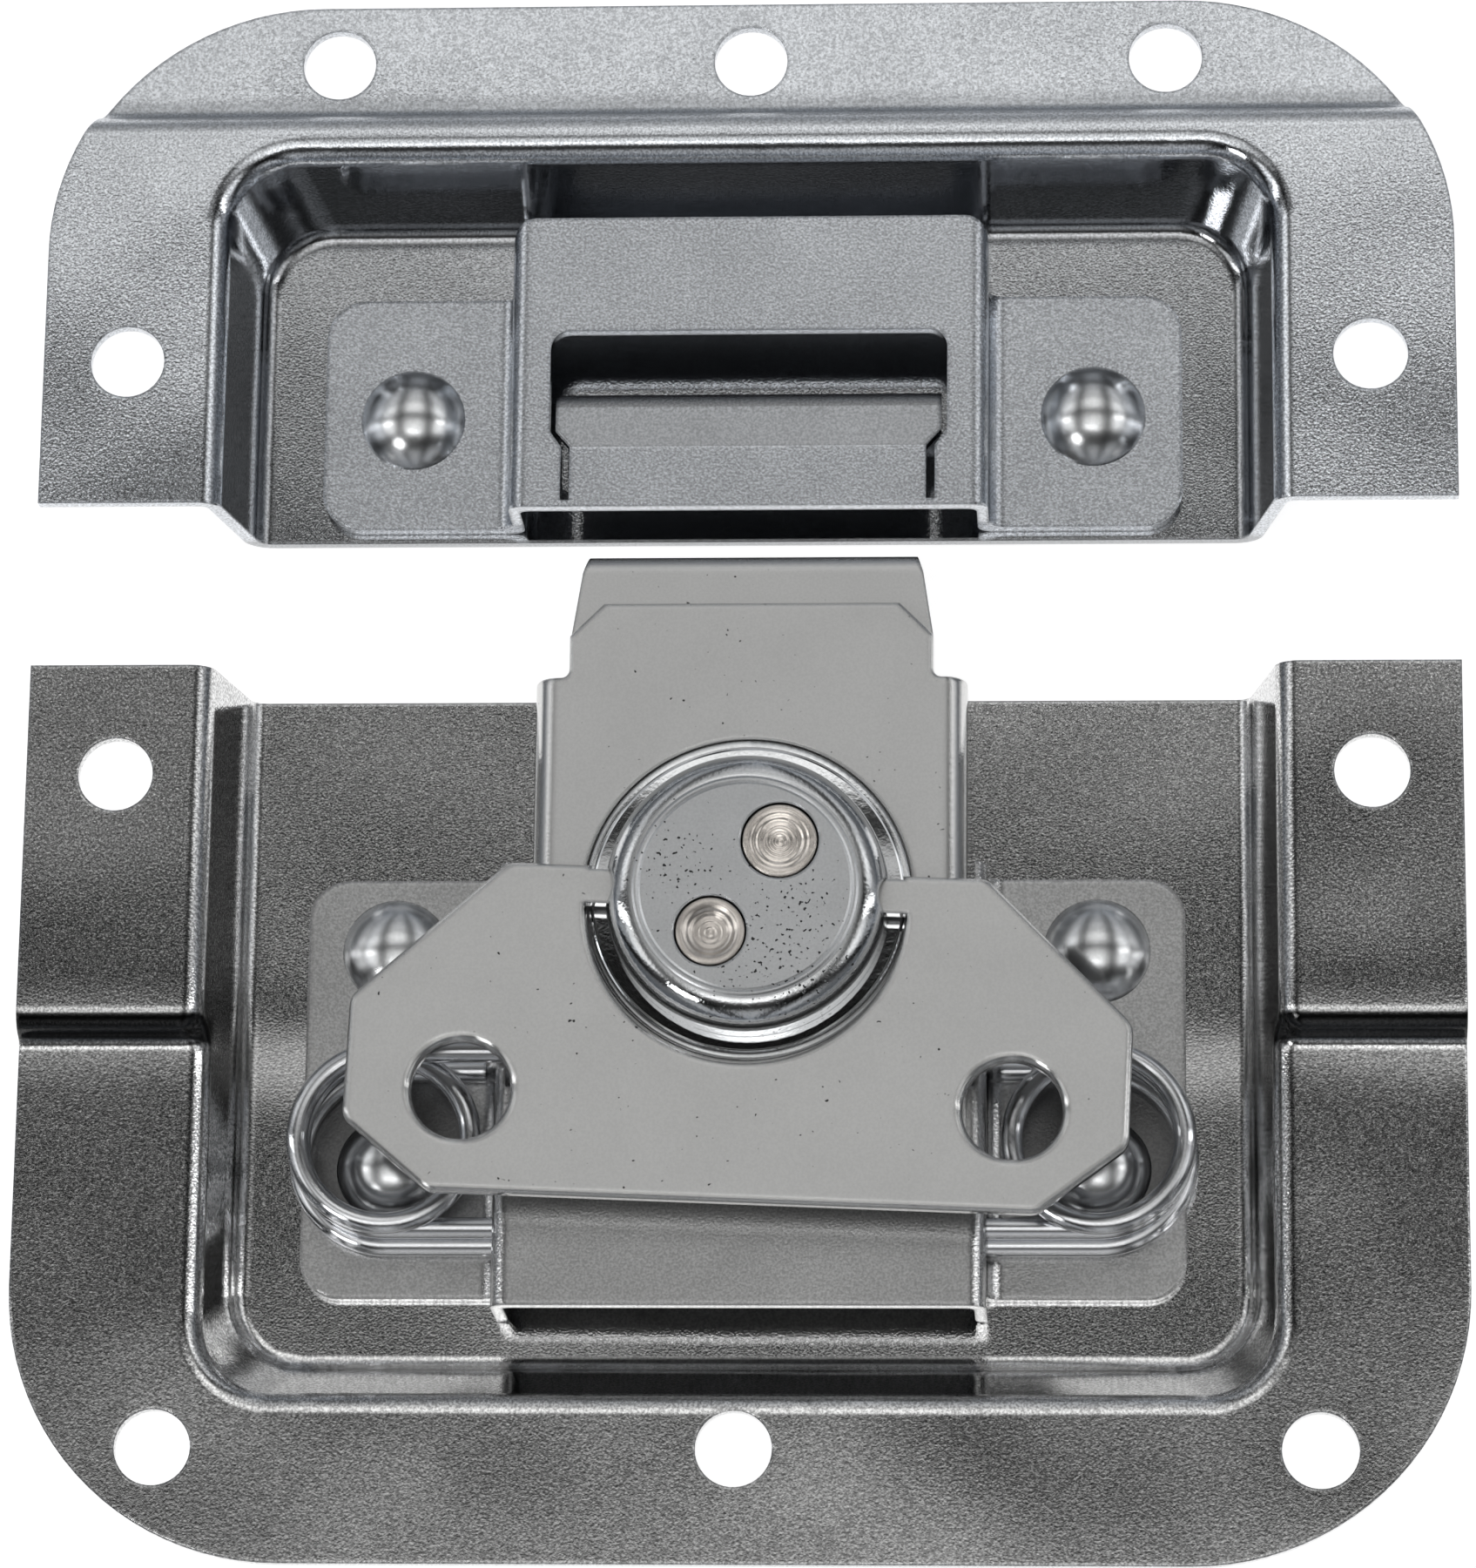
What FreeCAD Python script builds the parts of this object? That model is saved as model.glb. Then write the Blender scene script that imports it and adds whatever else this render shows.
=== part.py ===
import FreeCAD, Part
import math
import os
import re
import Sketcher

os.makedirs("parts", exist_ok=True)
doc = FreeCAD.newDocument("case_latch")
sheet = doc.addObject("Spreadsheet::Sheet", "Sizes")

# Driving sizes in mm and degrees
SIZES = {
    # Pressed dishes, lengths measured away from their mating edges
    "half_width": 52.5, "dish_sheet": 1.0, "flange_raise": 2.0, "dish_depth": 10.4,
    "latch_length": 66.1, "catch_length": 39.95, "outline_corner": 20,
    "latch_step": 27.6, "catch_step": 30.85, "step_slope": 70, "step_bend": 0.95,
    "side_room": 15.3, "latch_floor_end": 50.4, "catch_floor_end": 24.9,
    "side_lean": 11, "latch_end_lean": 24, "catch_end_lean": 13,
    "cavity_corner": 5.5, "mouth_bend": 0.8, "floor_bend": 1.2, "catch_gap": 12.55,
    # Rivet holes of the flanges
    "hole_radius": 2.75, "latch_side_inset": 6.6, "latch_side_row": 8.35,
    "latch_end_inset": 10.8, "latch_end_row": 57.8, "catch_side_inset": 6.3,
    "catch_side_row": 11.05, "catch_end_inset": 21.3, "catch_end_row": 35.35,
    # Plates of hat section
    "plate": 1.2, "hat_rise": 5.6, "wall_half": 17.9, "wall_sheet": 0.85, "foot_room": 4.8,
    "hat_bend": 1.3, "foot_bend": 1.2, "inner_bend": 0.6, "foot_corner": 2.9,
    "base_front": 7.5, "base_foot_front": 14.1, "base_foot_end": 45.6, "base_end": 47.1,
    "open_end": 31.0, "tongue_half": 13.3, "arm_notch": 2.8, "arm_notch_depth": 1.9,
    "window_front": 9.75, "window_end": 16.45, "window_half": 5.95,
    "strike_front": 0.7, "strike_foot_end": 18.95, "strike_end": 23.5,
    "strike_window_half": 14.85, "strike_window_end": 14.55, "strike_slot_front": 1.2,
    "slot_outer": 13.95, "crease": 5.35, "head_start": 6.65, "head_half": 14.4, "head_fall": 0.5,
    "free_edge": 9.95, "free_drop": 2.4, "lip_bend": 0.35, "bridge_corner": 1.8,
    # Rivets of the plates
    "rivet_head": 3.95, "rivet_height": 2.0, "rivet_shank": 1.95, "rivet_tail": 3.2,
    "rivet_tail_height": 0.6, "fit_gap": 0.05, "rivet_shift": 0.75,
    "base_rivet_front": 19.55, "base_rivet_end": 35.95, "catch_rivet_shift": 0.55,
    "catch_rivet_row": 9.4,
    # Spring of two wires, depths of their middle lines below the mounting plane
    "wire_radius": 0.8, "coil_shift": 0.1, "coil_radius": 6.3, "coil_row": 34.5,
    "coil_turns": 1.5, "coil_step": 1.65, "arm_level": 1.45, "arm_reach": 13.7,
    "loop_radius": 6.5, "loop_row": 35.3, "loop_level": 5.35, "stub_reach": 18.9,
    # Claw
    "slip": 0.1, "claw_half": 15.9, "claw_front": 0.7, "claw_end": 26.8, "claw_drop": 7.2,
    "claw_bend": 1.8, "nose_half": 13.4, "nose_front": 4.95, "nose_cut": 2.5,
    "nose_shoulder": 0.6, "edge_round": 0.35, "tail_end": 37.5, "tail_half": 12.0,
    "hook_front": 9.2, "hook_half": 12.1, "hook_bend": 1.6, "hook_drop": 2.4,
    # Hub and wing, measured from the hub centre, which stands a little right of the middle
    "claw_shift": 0.6,
    "hub_row": 17.6, "rest_angle": 2.2, "disc_radius": 12.0, "boss_radius": 9.0,
    "disc_gap": 0.08, "cap_radius": 10.3, "cap_sheet": 1.0, "cap_height": 3.9, "cap_bend": 2.3,
    "crank": 4.18, "pin_angle": 53.7, "drive_end": 2.7, "plain_end": 2.5, "pin_gap": 0.14,
    "drive_cup": 0.35, "plain_cup": 0.7, "pin_edge": 0.15, "foot_sheet": 0.6,
    "pin_shank": 1.6, "pin_low": 5.7, "pin_foot": 2.6, "washer_radius": 4.2,
    "washer_sheet": 0.9, "hinge_rise": 1.7, "ear_half": 1.25, "ear_end": 5.9, "ear_slot": 1.5,
    "wing_half": 28.3, "wing_top": 1.6, "wing_shoulder": 17.4, "wing_shoulder_end": 8.8,
    "wing_side_end": 17.8, "wing_base_half": 21.9, "wing_base": 22.9, "wing_corner": 1.5,
    "wing_cut": 11.6, "wing_cut_shift": 1.1, "wing_hole": 3.6, "wing_hole_side": 19.87,
    "wing_hole_row": 15.4, "wing_edge": 0.45, "hole_edge": 0.6,
    # Room left around cutting shapes
    "margin": 4,
}
for row, (alias, number) in enumerate(SIZES.items(), 1):
    sheet.set(f"A{row}", str(number))
    sheet.setAlias(f"A{row}", alias)
doc.recompute()

# Places across the latch that follow the width
DERIVED = {
    "floor_half": "half_width - side_room",
    "latch_side_hole": "half_width - latch_side_inset",
    "latch_end_hole": "half_width - latch_end_inset",
    "catch_side_hole": "half_width - catch_side_inset",
    "catch_end_hole": "half_width - catch_end_inset",
    "foot_half": "floor_half - foot_room",
    "base_rivet_side": "(wall_half + foot_half) / 2 + rivet_shift",
    "catch_rivet_side": "(wall_half + foot_half) / 2 + catch_rivet_shift",
    "coil_side": "base_rivet_side + coil_shift",
    "bridge_level": "arm_level + coil_step * coil_turns",
}

# Levels above the mounting plane, as formulas
FLOOR = "(flange_raise + dish_sheet - dish_depth)"
FOOT = f"({FLOOR} + plate)"
HAT = f"({FOOT} + hat_rise)"
HOOK = f"({HAT} + slip)"
CHANNEL = f"({HOOK} + plate)"
DISC = f"({CHANNEL} + plate)"
HINGE = f"({DISC} + hinge_rise)"
CAP = f"({DISC} + cap_height)"
TINY = 1e-4


def full(text):
    """Formula with derived names written out and every size name pointed at the sheet."""
    def point(match):
        word = match.group()
        if word in DERIVED:
            return f"({full(DERIVED[word])})"
        return "Sizes." * (word in SIZES) + word
    return re.sub(r"[a-z]\w*", point, str(text))


def value(text):
    result = sheet.evalExpression(full(text))
    return float(getattr(result, "Value", result))


def bind(obj, prop, text):
    obj.setExpression(prop, full(text))


def minus(text):
    return f"-({text})"


def mirrored(points):
    """Same outline on both sides of the middle plane."""
    return [points, [(minus(x), y) for x, y in points]]


def box_outline(left, low, right, high):
    return [(left, low), (right, low), (right, high), (left, high)]


# Sketches
def new_sketch(body, name, role, lift="0"):
    sketch = body.newObject("Sketcher::SketchObject", name)
    plane = [f for f in body.Origin.OriginFeatures if f.Role == role][0]
    sketch.AttachmentSupport = [(plane, "")]
    sketch.MapMode = "FlatFace"
    bind(sketch, "AttachmentOffset.Base.z", lift)
    return sketch


def pin_point(sketch, geo, pos, x, y):
    for kind, text in (("DistanceX", x), ("DistanceY", y)):
        index = sketch.addConstraint(Sketcher.Constraint(kind, -1, 1, geo, pos, value(text)))
        bind(sketch, f"Constraints[{index}]", text)


def polygon(sketch, points):
    first = sketch.GeometryCount
    count = len(points)
    at = [FreeCAD.Vector(value(x), value(y), 0) for x, y in points]
    for i in range(count):
        sketch.addGeometry(Part.LineSegment(at[i], at[(i + 1) % count]), False)
    for i in range(count):
        follower = first + (i + 1) % count
        sketch.addConstraint(Sketcher.Constraint("Coincident", first + i, 2, follower, 1))
    for i, (x, y) in enumerate(points):
        pin_point(sketch, first + i, 1, x, y)


def circle(sketch, x, y, radius):
    middle = FreeCAD.Vector(value(x), value(y), 0)
    ring = Part.Circle(middle, FreeCAD.Vector(0, 0, 1), value(radius))
    geo = sketch.addGeometry(ring, False)
    pin_point(sketch, geo, 3, x, y)
    index = sketch.addConstraint(Sketcher.Constraint("Radius", geo, value(radius)))
    bind(sketch, f"Constraints[{index}]", radius)


def arched(sketch, points, middle, held):
    """Open outline of straight lines, closed by an arc from its last point to its first."""
    first = sketch.GeometryCount
    at = [FreeCAD.Vector(value(x), value(y), 0) for x, y in points]
    centre = FreeCAD.Vector(value(middle[0]), value(middle[1]), 0)
    for start, end in zip(at, at[1:]):
        sketch.addGeometry(Part.LineSegment(start, end), False)
    begin, close = at[-1] - centre, at[0] - centre
    ring = Part.Circle(centre, FreeCAD.Vector(0, 0, 1), begin.Length)
    bow = Part.ArcOfCircle(ring, math.atan2(begin.y, begin.x), math.atan2(close.y, close.x))
    arc = sketch.addGeometry(bow, False)
    for i in range(first, arc):
        sketch.addConstraint(Sketcher.Constraint("Coincident", i, 2, i + 1, 1))
        pin_point(sketch, i, 1, *points[i - first])
    sketch.addConstraint(Sketcher.Constraint("Coincident", arc, 2, first, 1))
    pin_point(sketch, arc, 1, *points[-1])
    kind, text = held
    index = sketch.addConstraint(Sketcher.Constraint(kind, -1, 1, arc, 3, value(text)))
    bind(sketch, f"Constraints[{index}]", text)


def draw(body, name, role, lift, outlines, circles=()):
    sketch = new_sketch(body, name, role, lift)
    for points in outlines:
        polygon(sketch, points)
    for ring in circles:
        circle(sketch, *ring)
    return sketch


# Features of a body
def pad(body, name, sketch, length, middle=False):
    feature = body.newObject("PartDesign::Pad", name)
    feature.Profile = sketch
    bind(feature, "Length", length)
    feature.Midplane = middle
    doc.recompute()
    return feature


def pocket(body, name, sketch, depth):
    feature = body.newObject("PartDesign::Pocket", name)
    feature.Profile = sketch
    bind(feature, "Length", depth)
    doc.recompute()
    return feature


def cut_plan(body, name, outlines, circles=(), top="margin * 3", depth="margin * 6"):
    """Pocket downwards from a level through a plan drawn from above."""
    sketch = draw(body, f"{name}_plan", "XY_Plane", top, outlines, circles)
    return pocket(body, name, sketch, depth)


def revolve(body, name, points):
    sketch = draw(body, f"{name}_profile", "XZ_Plane", "0", [points])
    feature = body.newObject("PartDesign::Revolution", name)
    feature.Profile = sketch
    feature.ReferenceAxis = (sketch, ["V_Axis"])
    doc.recompute()
    return feature


def edges_where(feature, test):
    """Names of the edges whose end points and middle pass a test."""
    names = []
    for index, edge in enumerate(feature.Shape.Edges, 1):
        middle = edge.valueAt((edge.FirstParameter + edge.LastParameter) / 2)
        if test([v.Point for v in edge.Vertexes], middle):
            names.append(f"Edge{index}")
    return names


def fillet(body, name, feature, test, radius):
    rounded = body.newObject("PartDesign::Fillet", name)
    rounded.Base = (feature, edges_where(feature, test))
    bind(rounded, "Radius", radius)
    doc.recompute()
    return rounded


def near(one, two):
    return abs(one - two) < TINY


def upright_at(spots):
    """Test for vertical edges at given places, both sides of the middle."""
    places = [(abs(value(x)), value(y)) for x, y in spots]

    def test(ends, middle):
        tall = abs(ends[0].z - ends[-1].z) > 0.3 and near(ends[0].x, ends[-1].x)
        return tall and any(near(abs(middle.x), x) and near(middle.y, y) for x, y in places)
    return test


def lengthwise_at(x, z):
    side, level = value(x), value(z)

    def test(ends, middle):
        long = abs(ends[0].y - ends[-1].y) > 1
        return long and near(abs(middle.x), side) and near(middle.z, level)
    return test


def across_at(y, z):
    row, level = value(y), value(z)
    return lambda ends, middle: near(middle.y, row) and near(middle.z, level)


def rim_at(z, leave):
    """Test for edges that lie flat at a level, less those that a second test names."""
    level = value(z)

    def test(ends, middle):
        flat = near(middle.z, level) and all(near(p.z, level) for p in ends)
        return flat and not leave(ends, middle)
    return test


def ring_at(radius, z):
    reach, level = value(radius), value(z)

    def test(ends, middle):
        flat = near(middle.z, level) and near(ends[0].z, level)
        return flat and near(math.hypot(middle.x, middle.y), reach)
    return test


def new_body(name):
    return doc.addObject("PartDesign::Body", name)


# Pressed dishes: a form under the top face less a form under the lower face
def form_block(body, tag, half, under):
    level = "flange_raise" if under else "flange_raise + dish_sheet"
    low = "0" if under else "dish_sheet"
    shift = "dish_sheet * tan(step_slope * 1 deg / 2)" if under else "0"
    run = "flange_raise / tan(step_slope * 1 deg) / 2"
    near_end = f"{half}_step - {run} - {shift}"
    far_end = f"{half}_step + {run} - {shift}"
    end = f"{half}_length + margin"
    deep = "-dish_depth - margin"
    side = [("-margin", deep), ("-margin", level), (near_end, level), (far_end, low),
            (end, low), (end, deep)]
    sketch = draw(body, f"{tag}_side", "YZ_Plane", "0", [side])
    block = pad(body, f"{tag}_block", sketch, "2 * (half_width + margin)", True)
    bends = ("step_bend", "step_bend + dish_sheet")
    for name, y, z, radius in (("upper", near_end, level, bends[not under]),
                               ("lower", far_end, low, bends[under])):
        block = fillet(body, f"{tag}_{name}_bend", block, across_at(y, z), radius)
    return block


def cavity_plan(body, tag, half, under, name, height, level):
    """Rectangle of the leaning cavity walls at one height over the floor."""
    grow = " + dish_sheet / cos({0} * 1 deg)" if under else ""
    sizes = []
    for base, lean in (("floor_half", "side_lean"), (f"{half}_floor_end", f"{half}_end_lean")):
        sizes.append(f"{base} + ({height}) * tan({lean} * 1 deg){grow.format(lean)}")
    side, end = sizes
    outline = box_outline(minus(side), "-margin * 2", side, end)
    return draw(body, f"{tag}_{name}", "XY_Plane", level, [outline])


def cavity(body, tag, half, under):
    drop = "-dish_sheet" if under else "0"
    high = "dish_depth + margin"
    top = f"{FLOOR} + {high}"
    low = cavity_plan(body, tag, half, under, "floor", drop, f"{FLOOR} + ({drop})")
    mouth = cavity_plan(body, tag, half, under, "mouth", high, top)
    loft = body.newObject("PartDesign::SubtractiveLoft", f"{tag}_cavity")
    loft.Profile = low
    loft.Sections = [mouth]
    loft.Ruled = True
    doc.recompute()
    return loft


def dish_form(half, under):
    tag = f"{half}_{'lower' if under else 'upper'}"
    body = new_body(f"{tag}_form")
    form_block(body, tag, half, under)
    shape = cavity(body, tag, half, under)
    more = " + dish_sheet"
    inner = more if under else ""
    outer = "" if under else more
    floor = value(FLOOR) - (value("dish_sheet") if under else 0)
    edge = -value("margin") + TINY * 10
    wide = value("half_width + margin") - TINY * 10
    end = value(f"{half}_length + margin") - TINY * 10
    flange = value("0" if under else "dish_sheet")

    def corner(ends, m):
        return abs(ends[0].z - ends[-1].z) > 3 and m.y > 5 and abs(m.x) < wide and m.y < end

    def foot(ends, m):
        return all(near(p.z, floor) for p in ends) and near(m.z, floor) and m.y > edge

    def mouth(ends, m):
        inside = all(abs(p.x) < wide for p in ends) and edge < m.y < end
        return inside and min(p.z for p in ends) > flange - TINY
    shape = fillet(body, f"{tag}_corners", shape, corner, "cavity_corner" + inner)
    shape = fillet(body, f"{tag}_floor_bend", shape, foot, "floor_bend" + inner)
    fillet(body, f"{tag}_mouth_bend", shape, mouth, "mouth_bend" + outer)
    return body


def dish_outline(half, holes, rivets):
    """Plan of the dish with its holes, as a tall prism."""
    body = new_body(f"{half}_outline")
    outline = box_outline("-half_width", "0", "half_width", f"{half}_length")
    rings = [(x, y, "hole_radius") for x, y in holes]
    rings += [(x, y, "rivet_shank + fit_gap") for x, y in rivets]
    low = f"{FLOOR} - margin"
    sketch = draw(body, f"{half}_outline_plan", "XY_Plane", low, [outline], rings)
    prism = pad(body, f"{half}_prism", sketch, "dish_depth + margin * 2")
    fillet(body, f"{half}_prism_corners", prism,
           upright_at([("half_width", f"{half}_length")]), "outline_corner")
    return body


def dish(half, holes, rivets):
    skin = doc.addObject("Part::Cut", f"{half}_skin")
    skin.Base = dish_form(half, False)
    skin.Tool = dish_form(half, True)
    made = doc.addObject("Part::Common", f"{half}_dish")
    made.Base = skin
    made.Tool = dish_outline(half, holes, rivets)
    doc.recompute()
    return made


def both(x, y):
    return [(x, y), (minus(x), y)]


# Plates of hat section, drawn across and padded along the latch
def hat_block(body, tag, front, back):
    inside = "(wall_half - wall_sheet)"
    right = [("wall_half", HAT), ("wall_half", FOOT), ("foot_half", FOOT), ("foot_half", FLOOR),
             (inside, FLOOR), (inside, f"{HAT} - plate")]
    left = [(minus(x), z) for x, z in reversed(right)]
    sketch = draw(body, f"{tag}_section", "XZ_Plane", minus(back), [right + left])
    shape = pad(body, f"{tag}_hat", sketch, f"({back}) - ({front})")
    for name, x, z, radius in (("top_bend", "wall_half", HAT, "hat_bend"),
                               ("foot_bend", "wall_half", FOOT, "foot_bend"),
                               ("low_bend", inside, FLOOR, "foot_bend"),
                               ("inner_bend", inside, f"{HAT} - plate", "inner_bend")):
        shape = fillet(body, f"{tag}_{name}", shape, lengthwise_at(x, z), radius)
    return shape


def base_plate():
    body = new_body("base_plate")
    hat_block(body, "base", "base_front", "base_end")
    far = "foot_half + margin"
    inside = "wall_half - wall_sheet"
    ahead = box_outline("tongue_half", "base_front - margin", far, "base_foot_front")
    behind = box_outline("wall_half", "base_foot_end", far, "base_end + margin")
    cut_plan(body, "base_ends", mirrored(ahead) + mirrored(behind))
    opening = box_outline("tongue_half", "base_foot_front - margin", inside, "open_end")
    cut_plan(body, "base_opening", mirrored(opening), top=f"{HAT} + margin",
             depth="plate + inner_bend + margin")
    arm = "coil_row - coil_radius"
    notch = box_outline("tongue_half", f"{arm} - arm_notch / 2", "wall_half + margin / 2",
                        f"{arm} + arm_notch / 2")
    cut_plan(body, "base_notch", mirrored(notch), top=f"{HAT} + margin",
             depth="arm_notch_depth + margin")
    window = box_outline("-claw_shift - window_half", "window_front",
                         "window_half - claw_shift", "window_end")
    rivets = both("base_rivet_side", "base_rivet_front") + both("base_rivet_side", "base_rivet_end")
    rings = [(x, y, "rivet_shank + fit_gap") for x, y in rivets]
    shape = cut_plan(body, "base_window", [window], rings)
    room = "wire_radius * 1.35"
    slot = box_outline(f"coil_row + coil_radius - {room}", FOOT,
                       f"loop_row + loop_radius + {room}", f"{room} - bridge_level")
    sketch = draw(body, "base_slot_side", "YZ_Plane", "foot_half", [slot])
    shape = pocket(body, "base_slot", sketch, "foot_half * 2")
    shape = fillet(body, "base_foot_corners", shape,
                   upright_at([("foot_half", "base_foot_front"), ("foot_half", "base_foot_end")]),
                   "foot_corner")
    fillet(body, "base_tongue_corners", shape, upright_at([("tongue_half", "base_front")]),
           "foot_corner / 2")
    return body


def strike_tongue(body):
    """Tongue that falls from a crease and ends in a lip rolled down into the window."""
    root = "(strike_front + strike_slot_front) / 2"
    inside = "free_edge - plate"
    lip = f"{HAT} - free_drop"
    fall = "head_fall * (free_edge - plate - crease) / (free_edge - crease)"
    side = [(root, HAT), ("crease", HAT), ("free_edge", f"{HAT} - head_fall"), ("free_edge", lip),
            (inside, lip), (inside, f"{HAT} - plate - {fall}"), ("crease", f"{HAT} - plate"),
            (root, f"{HAT} - plate")]
    sketch = draw(body, "tongue_side", "YZ_Plane", "0", [side])
    shape = pad(body, "tongue_roll", sketch, "head_half * 2", True)
    shape = fillet(body, "lip_roll", shape, across_at("free_edge", side[2][1]), "plate + lip_bend")
    fillet(body, "lip_inner_roll", shape, across_at(inside, side[5][1]), "lip_bend")
    slot = [("tongue_half", "strike_slot_front"), ("slot_outer", "strike_slot_front"),
            ("slot_outer", "crease"), ("strike_window_half", "head_start"),
            ("head_half", "head_start"), ("tongue_half", "crease")]
    return cut_plan(body, "tongue_slots", mirrored(slot))


def bridge_corners(body):
    """Round the rear corners of the bridge as seen from above."""
    flank, back, reach = "wall_half", "strike_end", "bridge_corner"
    inner = f"({flank} - {reach})"
    side = f"({flank} + margin)"
    start, beyond = f"({back} - {reach})", f"({back} + margin)"
    right = [(inner, back), (inner, beyond), (side, beyond), (side, start), (flank, start)]
    left = [(minus(x), y) for x, y in reversed(right)]
    sketch = new_sketch(body, "bridge_corner_plan", "XY_Plane", f"{HAT} + margin")
    arched(sketch, right, (inner, start), ("DistanceX", inner))
    arched(sketch, left, (minus(inner), start), ("DistanceX", minus(inner)))
    return pocket(body, "bridge_corners", sketch, "hat_rise + margin * 2")


def catch_plate():
    body = new_body("catch_plate")
    hat_block(body, "strike", "strike_front", "strike_end")
    behind = box_outline("wall_half", "strike_foot_end", "foot_half + margin",
                         "strike_end + margin")
    rivets = both("catch_rivet_side", "catch_rivet_row")
    rings = [(x, y, "rivet_shank + fit_gap") for x, y in rivets]
    cut_plan(body, "strike_ends", mirrored(behind), rings)
    right = [("slot_outer", "strike_slot_front"), ("slot_outer", "crease"),
             ("strike_window_half", "head_start"), ("strike_window_half", "strike_window_end")]
    window = right + [(minus(x), y) for x, y in reversed(right)]
    shape = cut_plan(body, "strike_window", [window])
    fillet(body, "strike_window_corners", shape,
           upright_at([("strike_window_half", "strike_window_end")]), "foot_corner / 2")
    shape = strike_tongue(body)
    fillet(body, "strike_foot_corners", shape,
           upright_at([("foot_half", "strike_front"), ("foot_half", "strike_foot_end")]),
           "foot_corner")
    bridge_corners(body)
    return body


# Rivet with a round head above the foot and a formed tail under the dish
def rivet(name, x, y):
    body = new_body(name)
    under = f"{FLOOR} - dish_sheet"
    tail = f"{under} - rivet_tail_height"
    crown = f"{FOOT} + rivet_height"
    ball = "(rivet_head ^ 2 + rivet_height ^ 2) / (2 * rivet_height)"
    points = [("0", crown), ("0", tail), ("rivet_tail", tail), ("rivet_tail", under),
              ("rivet_shank", under), ("rivet_shank", FOOT), ("rivet_head", FOOT)]
    sketch = new_sketch(body, f"{name}_profile", "XZ_Plane")
    arched(sketch, points, ("0", f"{crown} - {ball}"), ("DistanceX", "0"))
    turned = body.newObject("PartDesign::Revolution", f"{name}_turned")
    turned.Profile = sketch
    turned.ReferenceAxis = (sketch, ["V_Axis"])
    bind(body, "Placement.Base.x", x)
    bind(body, "Placement.Base.y", y)
    doc.recompute()
    return body


# Spring bent from two wires, a coiled one above a plain open loop
def wire_line(name, start, end, row, level):
    line = doc.addObject("Part::Line", name)
    for prop, text in (("X1", start), ("Y1", row), ("Z1", level),
                       ("X2", end), ("Y2", row), ("Z2", level)):
        bind(line, prop, text)
    return line


def wire_coil(name, side, left):
    coil = doc.addObject("Part::Helix", name)
    coil.LocalCoord = "Left-handed" if left else "Right-handed"
    bind(coil, "Pitch", "coil_step")
    bind(coil, "Height", "coil_step * coil_turns")
    bind(coil, "Radius", "coil_radius")
    coil.Placement.Rotation = FreeCAD.Rotation(FreeCAD.Vector(0, 0, 1), -90)
    bind(coil, "Placement.Base.x", side)
    bind(coil, "Placement.Base.y", "-coil_row")
    bind(coil, "Placement.Base.z", "-bridge_level")
    return coil


def wire_bend(name, side, left):
    """Half circle of the plain loop, round the outer side of a coil."""
    bend = doc.addObject("Part::Circle", name)
    bind(bend, "Radius", "loop_radius")
    bend.Angle1 = 0
    bend.Angle2 = 180
    bend.Placement.Rotation = FreeCAD.Rotation(FreeCAD.Vector(0, 0, 1), 90 if left else -90)
    bind(bend, "Placement.Base.x", side)
    bind(bend, "Placement.Base.y", "-loop_row")
    bind(bend, "Placement.Base.z", "-loop_level")
    return bend


def wire_sweep(name, pieces, start, row, level):
    """Round wire along a chain of pieces that starts along X at a given place."""
    path = doc.addObject("Part::Compound", f"{name}_path")
    path.Links = pieces
    ring = doc.addObject("Part::Circle", f"{name}_section")
    bind(ring, "Radius", "wire_radius")
    ring.Placement.Rotation = FreeCAD.Rotation(FreeCAD.Vector(0, 1, 0), 90)
    bind(ring, "Placement.Base.x", start)
    bind(ring, "Placement.Base.y", row)
    bind(ring, "Placement.Base.z", level)
    doc.recompute()
    sweep = doc.addObject("Part::Sweep", name)
    sweep.Sections = [ring]
    sweep.Spine = (path, [f"Edge{i}" for i in range(1, 1 + len(path.Shape.Edges))])
    sweep.Solid = True
    sweep.Transition = "Transformed"
    doc.recompute()
    return sweep


def tension_spring():
    front = "coil_radius - coil_row"
    rear = "-coil_radius - coil_row"
    high = "-arm_level"
    pieces = [
        wire_line("right_arm", "arm_reach", "coil_side", front, high),
        wire_coil("right_coil", "coil_side", False),
        wire_line("rear_bridge", "coil_side", "-coil_side", rear, "-bridge_level"),
        wire_coil("left_coil", "-coil_side", True),
        wire_line("left_arm", "-coil_side", "-arm_reach", front, high),
    ]
    return wire_sweep("tension_spring", pieces, "arm_reach", front, high)


def spring_loop():
    front = "loop_radius - loop_row"
    rear = "-loop_radius - loop_row"
    low = "-loop_level"
    pieces = [
        wire_line("right_stub", "stub_reach", "coil_side", front, low),
        wire_bend("right_bend", "coil_side", False),
        wire_line("loop_bridge", "coil_side", "-coil_side", rear, low),
        wire_bend("left_bend", "-coil_side", True),
        wire_line("left_stub", "-coil_side", "-stub_reach", front, low),
    ]
    return wire_sweep("spring_loop", pieces, "stub_reach", front, low)


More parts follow.
